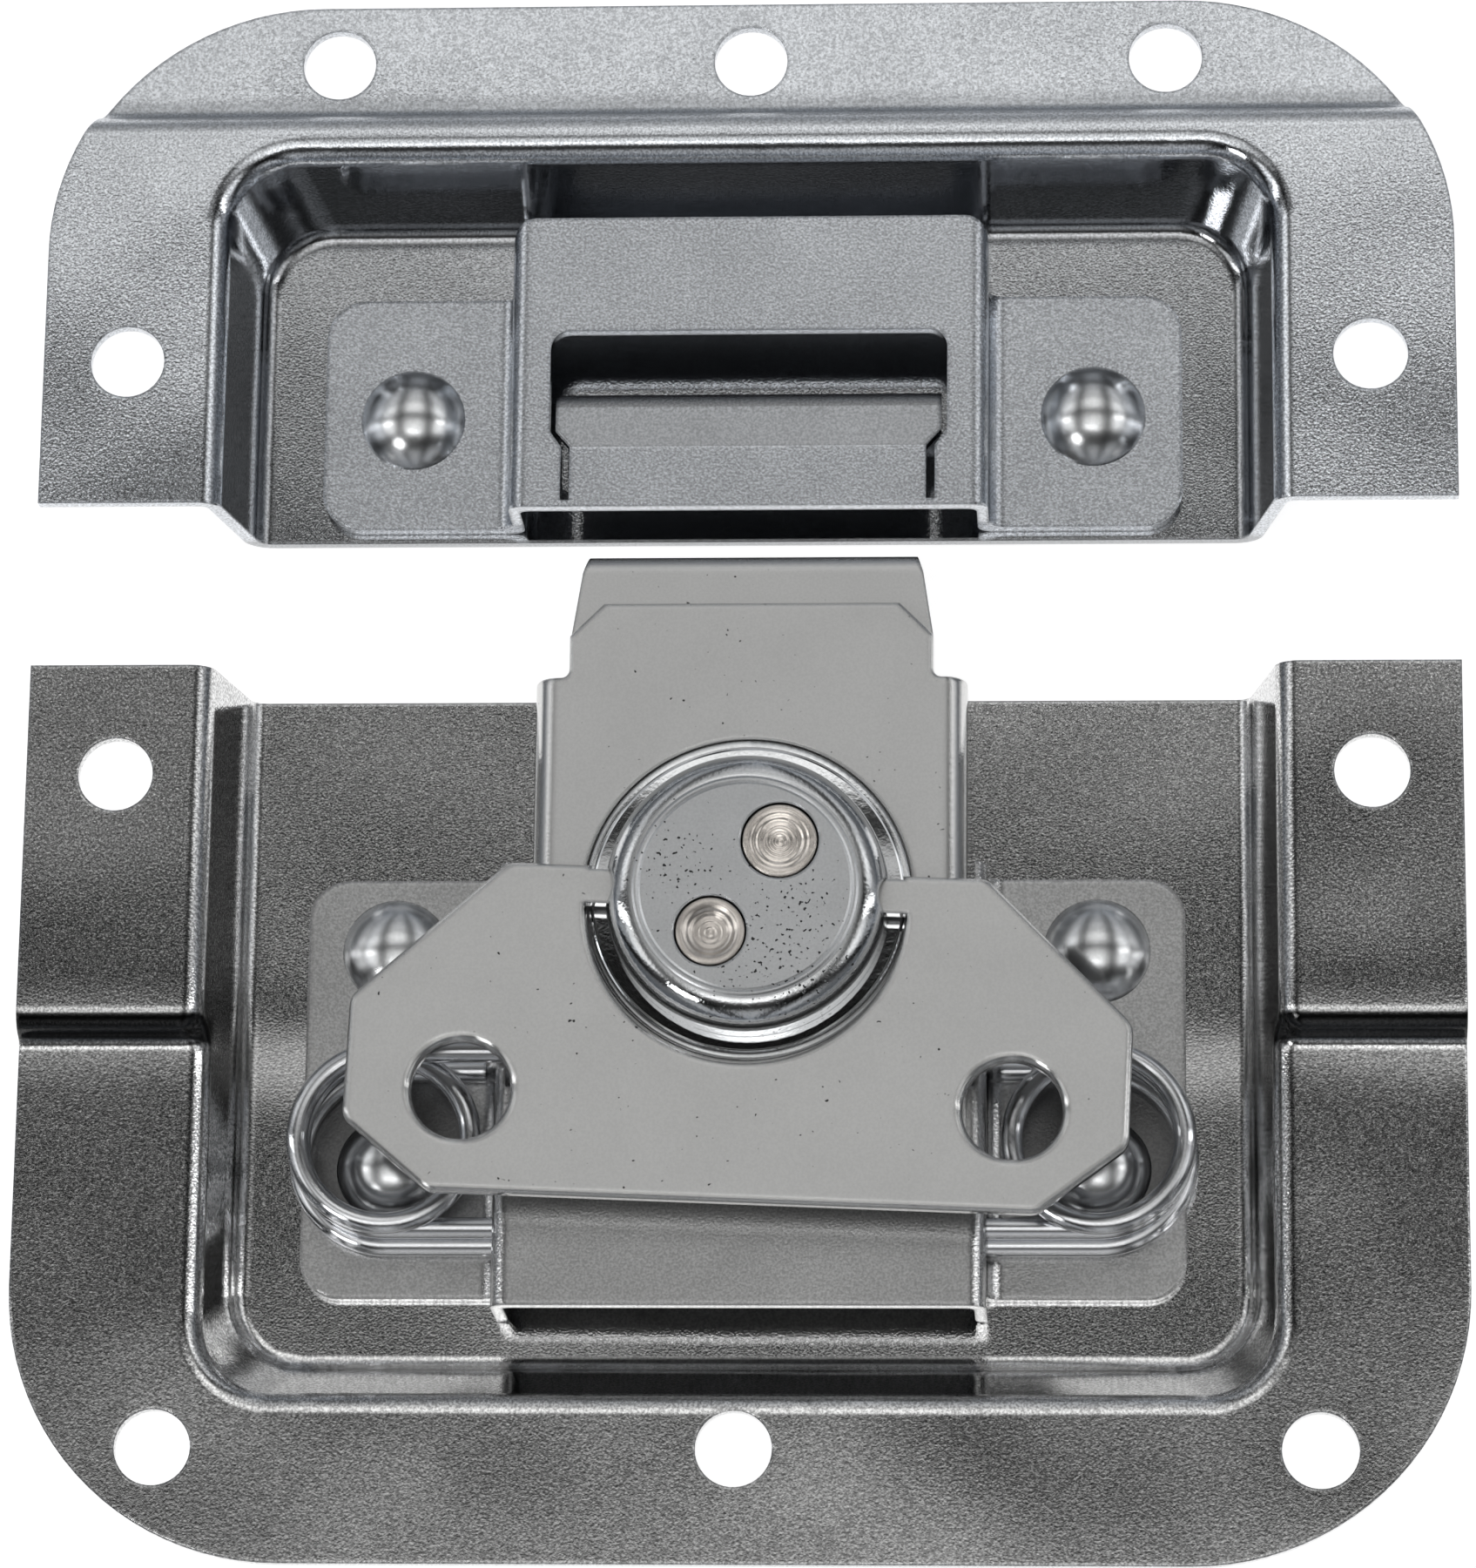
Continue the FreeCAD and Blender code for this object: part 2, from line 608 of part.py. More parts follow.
# Claw of two plates welded together
def claw_channel():
    body = new_body("claw_channel")
    inside = "(claw_half - plate)"
    right = [("claw_half", DISC), ("claw_half", "-claw_drop"), (inside, "-claw_drop"),
             (inside, CHANNEL)]
    left = [(minus(x), z) for x, z in reversed(right)]
    sketch = draw(body, "channel_section", "XZ_Plane", "claw_front", [right + left])
    shape = pad(body, "channel_run", sketch, "claw_end - claw_front")
    shape = fillet(body, "channel_bend", shape, lengthwise_at("claw_half", DISC), "claw_bend")
    fillet(body, "channel_inner_bend", shape, lengthwise_at(inside, CHANNEL), "inner_bend")
    cut = "(nose_front - nose_cut)"
    nose = [("-nose_half", "-hub_row"), ("nose_half", "-hub_row"), ("nose_half", cut),
            (f"nose_half - nose_cut", "nose_front"), (f"nose_cut - nose_half", "nose_front"),
            ("-nose_half", cut)]
    sketch = draw(body, "nose_plan", "XY_Plane", CHANNEL, [nose])
    pad(body, "nose", sketch, "plate")
    tail = box_outline("-tail_half", "-tail_end", "tail_half", "-hub_row")
    sketch = draw(body, "tail_plan", "XY_Plane", CHANNEL, [tail])
    shape = pad(body, "tail", sketch, "plate")
    shape = fillet(body, "nose_shoulders", shape, upright_at([("nose_half", "-claw_front")]),
                   "nose_shoulder")
    line = value("claw_half - claw_bend")
    fillet(body, "claw_edges", shape, rim_at(DISC, lambda ends, m: near(abs(m.x), line)),
           "edge_round")
    cut_plan(body, "disc_hole", [], [("0", "-hub_row", "disc_radius + disc_gap")])
    return body


def hook_plate():
    body = new_body("hook_plate")
    inside = "hook_front - plate"
    side = [("-tail_end", HOOK), (inside, HOOK), (inside, "-hook_drop"),
            ("hook_front", "-hook_drop"), ("hook_front", CHANNEL), ("-tail_end", CHANNEL)]
    sketch = draw(body, "hook_side", "YZ_Plane", "0", [side])
    shape = pad(body, "hook_run", sketch, "claw_half * 2", True)
    for name, y, z, radius in (("hook_outer_bend", "hook_front", CHANNEL, "hook_bend"),
                               ("hook_inner_bend", inside, HOOK, "hook_bend - plate")):
        shape = fillet(body, name, shape, across_at(y, z), radius)
    far = "claw_half + margin"
    flank = [(far, "hook_front + margin"), ("hook_half", "hook_front + margin"),
             ("hook_half", "hook_front"), ("hook_half + 0.5", "hook_front - hook_bend"),
             ("nose_half", "nose_front - nose_cut"), ("nose_half", "-claw_end - slip * 5"),
             (far, "-claw_end - slip * 5")]
    cut_plan(body, "hook_flanks", mirrored(flank),
             [("0", "-hub_row", "boss_radius + disc_gap")])
    return body


def off_middle(body):
    bind(body, "Placement.Base.x", "claw_shift")
    return body


# Hub parts turn about the hub centre
def place_on_hub(body):
    bind(body, "Placement.Base.y", "-hub_row")
    bind(body, "Placement.Rotation.Angle", "-rest_angle")
    off_middle(body)
    doc.recompute()
    return body


def pin_spots(gap):
    angle = "((pin_angle + rest_angle) * 1 deg)"
    x, y = f"crank * cos({angle})", f"crank * sin({angle})"
    return [(x, y, f"drive_end + {gap}"), (minus(x), minus(y), f"plain_end + {gap}")]


def cam_disc():
    body = new_body("cam_disc")
    shoulder = f"{CHANNEL} + slip / 2"
    shape = revolve(body, "disc_turned", [("0", HOOK), ("boss_radius", HOOK),
                                          ("boss_radius", shoulder), ("disc_radius", shoulder),
                                          ("disc_radius", DISC), ("0", DISC)])
    fillet(body, "disc_edge", shape, ring_at("disc_radius", DISC), "plate / 4")
    cut_plan(body, "disc_pin_holes", [], pin_spots("fit_gap"))
    return place_on_hub(body)


def hub_cap():
    body = new_body("hub_cap")
    inner = "(cap_radius - cap_sheet)"
    ceiling = f"{CAP} - cap_sheet"
    shape = revolve(body, "cap_drawn", [("0", CAP), ("0", ceiling), (inner, ceiling),
                                        (inner, DISC), ("cap_radius", DISC), ("cap_radius", CAP)])
    shape = fillet(body, "cap_rim", shape, ring_at("cap_radius", CAP), "cap_bend")
    fillet(body, "cap_inner_rim", shape, ring_at(inner, ceiling), "cap_bend - cap_sheet")
    cut_plan(body, "cap_pin_holes", [], pin_spots("pin_gap"))
    sketch = new_sketch(body, "ear_slots_side", "YZ_Plane", "disc_radius")
    low = f"{DISC} - margin"
    arched(sketch, [("-ear_slot", HINGE), ("-ear_slot", low), ("ear_slot", low),
                    ("ear_slot", HINGE)], ("0", HINGE), ("DistanceY", HINGE))
    pocket(body, "ear_slots", sketch, "disc_radius * 2")
    return place_on_hub(body)


def place_pin(body, sign):
    bind(body, "Placement.Base.x", f"{sign} * crank * cos(pin_angle * 1 deg) + claw_shift")
    bind(body, "Placement.Base.y", f"{sign} * crank * sin(pin_angle * 1 deg) - hub_row")
    doc.recompute()
    return body


def cupped(reach, cup):
    """Outline of a pin's end, from its flank over a narrow rim down into a shallow cup."""
    return [(reach, CAP), (f"{reach} * 0.84", CAP), (f"{reach} * 0.5", f"{CAP} - {cup} * 0.75"),
            ("0", f"{CAP} - {cup}")]


def drive_pin():
    body = new_body("drive_pin")
    foot = "foot_sheet - pin_low"
    shape = revolve(body, "drive_turned", [
        ("0", "-pin_low"), ("pin_foot", "-pin_low"), ("pin_foot", foot), ("pin_shank", foot),
        ("pin_shank", HOOK), ("drive_end", HOOK)] + cupped("drive_end", "drive_cup"))
    fillet(body, "drive_edge", shape, ring_at("drive_end", CAP), "pin_edge")
    return place_pin(body, "1")


def plain_pin():
    body = new_body("plain_pin")
    shape = revolve(body, "plain_turned",
                    [("0", HOOK), ("plain_end", HOOK)] + cupped("plain_end", "plain_cup"))
    fillet(body, "plain_edge", shape, ring_at("plain_end", CAP), "pin_edge")
    return place_pin(body, "-1")


def pin_washer():
    body = new_body("pin_washer")
    low = "foot_sheet - pin_low"
    high = f"{low} + washer_sheet"
    revolve(body, "washer_turned", [("pin_shank + fit_gap", low), ("washer_radius", low),
                                    ("washer_radius", high), ("pin_shank + fit_gap", high)])
    return place_pin(body, "1")


def butterfly_wing():
    body = new_body("butterfly_wing")
    low = f"{HINGE} - plate / 2"
    right = [("wing_shoulder", "wing_top"), ("wing_half", "-wing_shoulder_end"),
             ("wing_half", "-wing_side_end"), ("wing_base_half", "-wing_base")]
    left = [(minus(x), y) for x, y in reversed(right)]
    sketch = draw(body, "wing_plan", "XY_Plane", low, [right + left])
    shape = pad(body, "wing_sheet", sketch, "plate")
    fillet(body, "wing_corners", shape, upright_at(right), "wing_corner")
    holes = [(x, y, "wing_hole") for x, y in both("wing_hole_side", "-wing_hole_row")]
    shape = cut_plan(body, "wing_openings", [], holes + [("0", "-wing_cut_shift", "wing_cut")])
    top = f"{HINGE} + plate / 2"
    side, row = value("wing_hole_side"), value("wing_hole_row")

    def at_hole(ends, m):
        return math.hypot(abs(m.x) - side, m.y + row) < value("wing_hole") + TINY
    shape = fillet(body, "wing_edges", shape, rim_at(top, at_hole), "wing_edge")
    fillet(body, "wing_hole_edges", shape, rim_at(top, lambda e, m: not at_hole(e, m)),
           "hole_edge")
    ears = mirrored(box_outline("ear_end", "-ear_half", "wing_cut + ear_half", "ear_half"))
    sketch = draw(body, "ear_plan", "XY_Plane", low, ears)
    pad(body, "ears", sketch, "plate")
    return place_on_hub(body)


# All pieces of the latch
def latch_pieces():
    holes = both("latch_side_hole", "latch_side_row") + both("latch_end_hole", "latch_end_row")
    holes += [("0", "latch_end_row")]
    rivets = both("base_rivet_side", "base_rivet_front") + both("base_rivet_side", "base_rivet_end")
    half_turn = FreeCAD.Rotation(FreeCAD.Vector(0, 0, 1), 180)
    pieces = [dish("latch", holes, rivets), base_plate()]
    for piece in pieces:
        piece.Placement = FreeCAD.Placement(FreeCAD.Vector(0, 0, 0), half_turn)
    for side, sign in (("l", "-"), ("r", "")):
        x = f"{sign}base_rivet_side"
        pieces.append(rivet(f"base_rivet_{side}u", x, "-base_rivet_front"))
        pieces.append(rivet(f"base_rivet_{side}l", x, "-base_rivet_end"))
    return pieces


def catch_pieces():
    holes = both("catch_side_hole", "catch_side_row") + both("catch_end_hole", "catch_end_row")
    holes += [("0", "catch_end_row")]
    pieces = [dish("catch", holes, both("catch_rivet_side", "catch_rivet_row")), catch_plate()]
    for piece in pieces:
        bind(piece, "Placement.Base.y", "catch_gap")
    row = "catch_gap + catch_rivet_row"
    pieces.append(rivet("catch_rivet_l", "-catch_rivet_side", row))
    pieces.append(rivet("catch_rivet_r", "catch_rivet_side", row))
    return pieces


def export(piece):
    piece.Label = piece.Name
    shape = piece.Shape
    if shape.isNull() or not shape.isValid() or len(shape.Solids) != 1:
        raise RuntimeError(f"{piece.Name} is not one valid solid")
    shape.exportStep(f"parts/{piece.Label}.step")
    box = shape.BoundBox
    print(f"{piece.Label:16s} {shape.Volume:9.1f} mm3  x {box.XMin:7.2f} {box.XMax:7.2f}"
          f"  y {box.YMin:7.2f} {box.YMax:7.2f}  z {box.ZMin:6.2f} {box.ZMax:6.2f}")


pieces = latch_pieces() + catch_pieces()
pieces += [tension_spring(), spring_loop()]
pieces += [off_middle(claw_channel()), off_middle(hook_plate())]
pieces += [cam_disc(), hub_cap()]
pieces += [drive_pin(), plain_pin(), pin_washer(), butterfly_wing()]
doc.recompute()
for item in doc.Objects:
    if "Invalid" in item.State or "Error" in item.State:
        raise RuntimeError(f"{item.Name} did not compute")
for piece in pieces:
    export(piece)
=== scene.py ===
# %% [markdown]
# A recessed butterfly latch for a flight case: two pressed dishes, two plates of hat section, a claw that a
# turning hub draws in, a spring and a folding wing. All of it is bright plated steel. The solids come from
# the CAD model and already have their real sizes, so this lesson gives them grain, edges and light.

# %% Load the CAD model
import bpy
import math
import numpy as np
from mathutils import Matrix, Vector


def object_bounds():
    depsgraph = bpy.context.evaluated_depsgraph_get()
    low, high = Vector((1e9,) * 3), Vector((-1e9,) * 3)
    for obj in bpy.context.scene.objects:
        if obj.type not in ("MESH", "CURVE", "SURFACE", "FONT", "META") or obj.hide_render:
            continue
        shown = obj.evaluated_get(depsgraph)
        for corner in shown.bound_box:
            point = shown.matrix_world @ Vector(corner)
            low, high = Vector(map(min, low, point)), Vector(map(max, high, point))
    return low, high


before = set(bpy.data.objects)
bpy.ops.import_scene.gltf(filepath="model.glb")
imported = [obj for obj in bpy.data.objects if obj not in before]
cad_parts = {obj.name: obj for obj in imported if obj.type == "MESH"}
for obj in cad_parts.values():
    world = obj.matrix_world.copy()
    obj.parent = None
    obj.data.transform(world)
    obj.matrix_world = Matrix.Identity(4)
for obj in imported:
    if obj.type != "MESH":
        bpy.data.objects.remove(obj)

MM = 0.001
cad_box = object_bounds()
print("nodes", len(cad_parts), "box mm", [[round(v / MM, 2) for v in c] for c in cad_box])

# %% [markdown]
# The camera stands almost straight above the latch, tipped back by fifteen degrees and turned by three.
# Its place and its long lens were worked out from the rivet holes, whose real places are known.
# The image is taken as 1695 by 1801 pixels, and the lens follows from the pixels that one millimetre covers.

# %% Camera
TILT, YAW, ROLL = 0.269521368, 0.0585193389, -0.00308925167
DISTANCE, SCALE, LONG_SIDE = 480.0, 15.6554, 1801
TARGET = np.array([-0.3402, -8.4107, 0.0])


def camera_turn():
    """Turn about X by the tilt, then about Y by the yaw, then about Z by the roll."""
    return Matrix.Rotation(TILT, 3, "X") @ Matrix.Rotation(YAW, 3, "Y") @ Matrix.Rotation(ROLL, 3, "Z")


lens = bpy.data.cameras.new("camera")
lens.sensor_width = 36
lens.lens = 36 * SCALE * DISTANCE / LONG_SIDE
lens.clip_start, lens.clip_end = 0.01, 20
camera = bpy.data.objects.new("camera", lens)
bpy.context.scene.collection.objects.link(camera)
turn = camera_turn()
place = (Vector(TARGET) + turn.col[2] * DISTANCE) * MM
camera.matrix_world = Matrix.Translation(place) @ turn.to_4x4()
bpy.context.scene.camera = camera
print("camera mm", [round(v / MM, 1) for v in place], "lens", round(lens.lens, 2))

# %% [markdown]
# A material or a room is a tree of nodes. Blender could build it by hand in its editor, but a script
# repeats it and can be read. So four short helpers add a node, join two sockets, set colour stops and
# place a sum between sockets or plain numbers. Every finish below is written with them.

# %% Helpers for node trees
scene = bpy.context.scene
scene.view_settings.view_transform = "Standard"


def add_node(tree, kind, x=0, **settings):
    """Node of a kind at a place along the tree, with its settings."""
    node = tree.nodes.new(kind)
    node.location.x = x
    for key, setting in settings.items():
        setattr(node, key, setting)
    return node


def link(tree, source, target):
    """Join an output socket to an input socket."""
    tree.links.new(source, target)


def ramp_stops(node, stops):
    """Colour stops as (place, colour)."""
    ramp = node.color_ramp
    while len(ramp.elements) < len(stops):
        ramp.elements.new(0.5)
    for element, (where, tone) in zip(ramp.elements, stops):
        element.position = where
        element.color = (*tone, 1)


def calculate(tree, operation, first, second, x=0):
    """Math node whose inputs are sockets or plain numbers."""
    node = add_node(tree, "ShaderNodeMath", x, operation=operation)
    for socket, given in zip(node.inputs, (first, second)):
        if isinstance(given, (int, float)):
            socket.default_value = given
        else:
            link(tree, given, socket)
    return node.outputs[0]


print("view transform", scene.view_settings.view_transform)

# %% [markdown]
# Bright metal shows its surroundings, so the room matters more than any lamp. Flat faces that look up
# mirror a patch of the ceiling a little beyond the zenith. There the room is dim, as under the dark
# ceiling of a studio, and it brightens towards a long cloth behind the latch and paler walls at the sides.
# Two curves of tone say how bright the room is from front to back and from left to right, and the room
# is their product. Both read only the direction in the room, so every view sees the same room.

# %% Tones of the room
SLOPE_SPAN = 1.6
ROOM_LEVEL = 1.15
FRONT_TO_BACK = [(-1.6, 0.4), (-1.25, 0.25), (-0.95, 0.04), (-0.6, 0.05), (-0.42, 0.4), (-0.3, 0.95),
                 (-0.15, 0.95), (0.0, 0.8), (0.09, 0.55), (0.14, 0.35), (0.17, 0.24), (0.185, 0.21),
                 (0.197, 0.13), (0.207, 0.02), (0.22, 0.0), (0.26, 0.0), (0.267, 0.1), (0.273, 0.38),
                 (0.28, 0.62), (0.288, 0.62), (0.298, 0.32), (0.308, 0.1), (0.318, 0.0), (0.338, 0.0),
                 (0.348, 0.2), (0.355, 0.55), (0.362, 1.0), (0.37, 1.25), (0.383, 1.05), (0.395, 0.75),
                 (0.41, 0.65), (0.45, 0.9), (0.52, 1.0), (0.64, 1.0), (0.74, 0.9), (0.84, 0.5),
                 (1.0, 0.5), (1.2, 0.6), (1.6, 0.4)]
LEFT_TO_RIGHT = [(-1.6, 0.4), (-1.25, 1.0), (-0.85, 1.1), (-0.62, 0.25), (-0.46, 0.15), (-0.34, 0.5),
                 (-0.22, 0.88), (-0.14, 0.95), (-0.08, 0.98), (0.0, 1.0), (0.08, 1.05), (0.16, 1.0),
                 (0.26, 0.75), (0.38, 0.3), (0.48, 0.12), (0.6, 0.2), (0.75, 0.9), (0.9, 1.2),
                 (1.25, 1.0), (1.6, 0.4)]
print("room tones", len(FRONT_TO_BACK), "by", len(LEFT_TO_RIGHT))


# %% Room
def tone_along(tree, across, up, stops):
    """Half the tone at the slope of a direction, which is its sideways part over its height."""
    slope = calculate(tree, "DIVIDE", across, up, -900)
    share = calculate(tree, "MULTIPLY_ADD", slope, 0.5 / SLOPE_SPAN, -800)
    share.node.inputs[2].default_value = 0.5
    share.node.use_clamp = True
    ramp = add_node(tree, "ShaderNodeFloatCurve", -600)
    curve = ramp.mapping.curves[0]
    points = [((s + SLOPE_SPAN) / (2 * SLOPE_SPAN), t / 2) for s, t in stops]
    curve.points[0].location, curve.points[-1].location = points[0], points[-1]
    for point in points[1:-1]:
        curve.points.new(*point)
    for point in curve.points:
        point.handle_type = "AUTO_CLAMPED"
    ramp.mapping.update()
    link(tree, share, ramp.inputs["Value"])
    return ramp.outputs[0]


def make_room():
    """World whose light is the tone by Y over Z times the tone by X over Z.

    Both curves give half their tone, so the product is taken four times.
    """
    world = bpy.data.worlds.new("studio")
    world.use_nodes = True
    tree = world.node_tree
    glow = tree.nodes["Background"]
    where = add_node(tree, "ShaderNodeTexCoord", -1300)
    split = add_node(tree, "ShaderNodeSeparateXYZ", -1100)
    link(tree, where.outputs["Generated"], split.inputs[0])
    up = calculate(tree, "MAXIMUM", split.outputs["Z"], 0.05, -1000)
    depth = tone_along(tree, split.outputs["Y"], up, FRONT_TO_BACK)
    width = tone_along(tree, split.outputs["X"], up, LEFT_TO_RIGHT)
    tone = calculate(tree, "MULTIPLY", depth, width, -400)
    ramp = add_node(tree, "ShaderNodeValToRGB", -300)
    ramp_stops(ramp, [(0.0, (0.55, 0.62, 0.72)), (0.35, (0.93, 0.96, 1.0)), (0.8, (1.0, 1.0, 0.99))])
    link(tree, split.outputs["Z"], ramp.inputs[0])
    link(tree, ramp.outputs[0], glow.inputs["Color"])
    strength = calculate(tree, "MULTIPLY", tone, 4 * ROOM_LEVEL, -200)
    link(tree, strength, glow.inputs["Strength"])
    scene.world = world


make_room()
print("room level", ROOM_LEVEL, "lit by", scene.world.name)

# %% [markdown]
# Four lamps finish the light. Two small cloths in front give the rivet heads, the wire and the rim of
# the hub their bright spots, and a narrow strip on each side draws a line along the rounded edges.

# %% Lamps
def add_lamp(name, place, aim, size, radiance):
    """Rectangular lamp whose power is its radiance times its area times pi."""
    light = bpy.data.lights.new(name, "AREA")
    light.shape = "RECTANGLE"
    light.size, light.size_y = size
    light.energy = radiance * size[0] * size[1] * math.pi
    lamp = bpy.data.objects.new(name, light)
    scene.collection.objects.link(lamp)
    direction = Vector(aim) - Vector(place)
    lamp.matrix_world = Matrix.Translation(place) @ direction.to_track_quat("-Z", "Y").to_matrix().to_4x4()
    return lamp


add_lamp("front cloth", (-0.05, -0.34, 1.15), (0, 0, 0), (0.50, 0.12), 1.6)
add_lamp("front left cloth", (-0.42, -0.48, 0.60), (0, 0, 0), (0.20, 0.16), 7.0)
add_lamp("right strip", (0.75, 0.1, 0.55), (0, 0, 0), (0.08, 0.5), 3.0)
add_lamp("left strip", (-0.75, 0.05, 0.5), (0, 0, 0), (0.08, 0.5), 3.0)

# %% [markdown]
# The floor is one pale sheet under the formed rivet tails, the lowest points of the latch. A glow that
# only the camera and mirrored rays see lifts it to white, and the rest of its tone keeps the shadow.

# %% Floor
FLOOR_LEVEL = cad_box[0].z
FLOOR_HALF = 3.0
PAPER_TONE, PAPER_GLOW = 0.5, 0.84


def flat_sheet(name, half, level):
    """Square of the given half width, from four corner points."""
    corners = np.array([[-1, -1], [1, -1], [1, 1], [-1, 1]]) * half
    points = np.column_stack([corners, np.full(4, level)])
    mesh = bpy.data.meshes.new(name)
    mesh.from_pydata(points.tolist(), [], [(0, 1, 2, 3)])
    sheet = bpy.data.objects.new(name, mesh)
    scene.collection.objects.link(sheet)
    return sheet


def floor_paper():
    """Matt paper: what the lamps light, plus a glow for camera rays and mirrored rays."""
    paper = bpy.data.materials.new("floor paper")
    paper.use_nodes = True
    tree = paper.node_tree
    shader = tree.nodes["Principled BSDF"]
    shader.inputs["Base Color"].default_value = (PAPER_TONE, PAPER_TONE, PAPER_TONE, 1)
    shader.inputs["Roughness"].default_value = 0.9
    shader.inputs["Specular IOR Level"].default_value = 0.0
    shader.inputs["Emission Color"].default_value = (1, 1, 1, 1)
    rays = add_node(tree, "ShaderNodeLightPath", -600)
    seen = calculate(tree, "MAXIMUM", rays.outputs["Is Camera Ray"], rays.outputs["Is Glossy Ray"], -400)
    glow = calculate(tree, "MULTIPLY", seen, PAPER_GLOW, -200)
    link(tree, glow, shader.inputs["Emission Strength"])
    return paper


floor = flat_sheet("floor", FLOOR_HALF, FLOOR_LEVEL)
floor.data.materials.append(floor_paper())
print("floor at mm", round(FLOOR_LEVEL / MM, 2))

# %% [markdown]
# Plated steel is a mirror with three scales of unevenness. The sheet waves slowly over two or three
# centimetres, so a flat flange runs from bright to dark. Rolled sheet under plating has a fine peel of
# dimples about a fifth of a millimetre across. Cut edges are worn round and shiny, which a Bevel node
# imitates in the shading. All patterns read Object coordinates, so they stay on the metal when it moves.

# %% Plated steel
STAIN_SIZE, GRAIN_SIZE, GRAIN_SHIFT = 6, 0.19, (7, 3, 5)
BENT_BELOW, FLAT_ABOVE = 0.955, 0.998


def noise(tree, where, size, detail=2.0, x=-1000, shift=(0, 0, 0)):
    """Noise whose cells are the given size in millimetres, with a shift in millimetres."""
    source = where
    if any(shift):
        mapping = add_node(tree, "ShaderNodeMapping", x - 200)
        mapping.inputs["Location"].default_value = tuple(v * MM for v in shift)
        link(tree, where, mapping.inputs["Vector"])
        source = mapping.outputs[0]
    node = add_node(tree, "ShaderNodeTexNoise", x)
    node.inputs["Scale"].default_value = 1 / (size * MM)
    node.inputs["Detail"].default_value = detail
    link(tree, source, node.inputs["Vector"])
    return node.outputs["Fac"]


def raise_by(tree, height, reach, below, x=-300):
    """Bump of the given reach in millimetres on top of the normal below it."""
    bump = add_node(tree, "ShaderNodeBump", x)
    bump.inputs["Strength"].default_value = 1.0
    bump.inputs["Distance"].default_value = reach * MM
    link(tree, height, bump.inputs["Height"])
    link(tree, below, bump.inputs["Normal"])
    return bump.outputs[0]


def edge_mask(tree, worn, x=-900):
    """One on faces that look straight up or down in the object's frame, zero on bends and worn edges."""
    turned = add_node(tree, "ShaderNodeVectorTransform", x - 400, vector_type="NORMAL",
                      convert_from="WORLD", convert_to="OBJECT")
    link(tree, worn, turned.inputs[0])
    split = add_node(tree, "ShaderNodeSeparateXYZ", x - 200)
    link(tree, turned.outputs[0], split.inputs[0])
    flat = calculate(tree, "ABSOLUTE", split.outputs["Z"], 0, x)
    ramp = add_node(tree, "ShaderNodeMapRange", x + 100)
    ramp.inputs["From Min"].default_value = BENT_BELOW
    ramp.inputs["From Max"].default_value = FLAT_ABOVE
    link(tree, flat, ramp.inputs["Value"])
    return ramp.outputs[0]


def between(tree, share, low, high, x=-400):
    """Number that goes from low to high as the share goes from zero to one."""
    ramp = add_node(tree, "ShaderNodeMapRange", x)
    ramp.inputs["To Min"].default_value = low
    ramp.inputs["To Max"].default_value = high
    link(tree, share, ramp.inputs["Value"])
    return ramp.outputs[0]


def plated(name, tone, rough, peel=(0.17, 0.01), wave=(24, 0.4), speckle=0.04, edge=0.35,
           edge_rough=None, grain=0.12):
    """Metal mirror: an edge radius, slow waves and a fine peel move its normal, and grains its tone.

    peel and wave are each a cell size and a height in millimetres, and edge is the radius of worn edges.
    """
    material = bpy.data.materials.new(name)
    material.use_nodes = True
    tree = material.node_tree
    shader = tree.nodes["Principled BSDF"]
    shader.inputs["Metallic"].default_value = 1.0
    shader.inputs["Roughness"].default_value = rough
    worn = add_node(tree, "ShaderNodeBevel", -700, samples=4)
    worn.inputs["Radius"].default_value = edge * MM
    if edge_rough is not None:
        flat = edge_mask(tree, worn.outputs[0])
        link(tree, between(tree, flat, edge_rough, rough), shader.inputs["Roughness"])
    where = add_node(tree, "ShaderNodeTexCoord", -1600).outputs["Object"]
    fine = noise(tree, where, peel[0], 2.0)
    slow = noise(tree, where, wave[0], 1.0)
    stain = noise(tree, where, STAIN_SIZE, 4.0)
    ramp = add_node(tree, "ShaderNodeValToRGB", -700)
    dull, clear = tuple(c * (1 - speckle) for c in tone), tuple(c * (1 + speckle) for c in tone)
    ramp_stops(ramp, [(0.35, dull), (0.65, clear)])
    link(tree, stain, ramp.inputs[0])
    grains = add_node(tree, "ShaderNodeMapRange", -700)
    for key, given in (("From Min", 0.35), ("From Max", 0.65), ("To Min", 1 - grain), ("To Max", 1 + grain)):
        grains.inputs[key].default_value = given
    link(tree, noise(tree, where, GRAIN_SIZE, 1.0, shift=GRAIN_SHIFT), grains.inputs["Value"])
    colour = add_node(tree, "ShaderNodeVectorMath", -400, operation="MULTIPLY")
    link(tree, ramp.outputs[0], colour.inputs[0])
    link(tree, grains.outputs[0], colour.inputs[1])
    link(tree, colour.outputs[0], shader.inputs["Base Color"])
    normal = raise_by(tree, slow, wave[1], worn.outputs[0], -500)
    normal = raise_by(tree, fine, peel[1], normal, -300)
    link(tree, normal, shader.inputs["Normal"])
    return material


print("plated steel: stains of", STAIN_SIZE, "mm and grains of", GRAIN_SIZE, "mm")

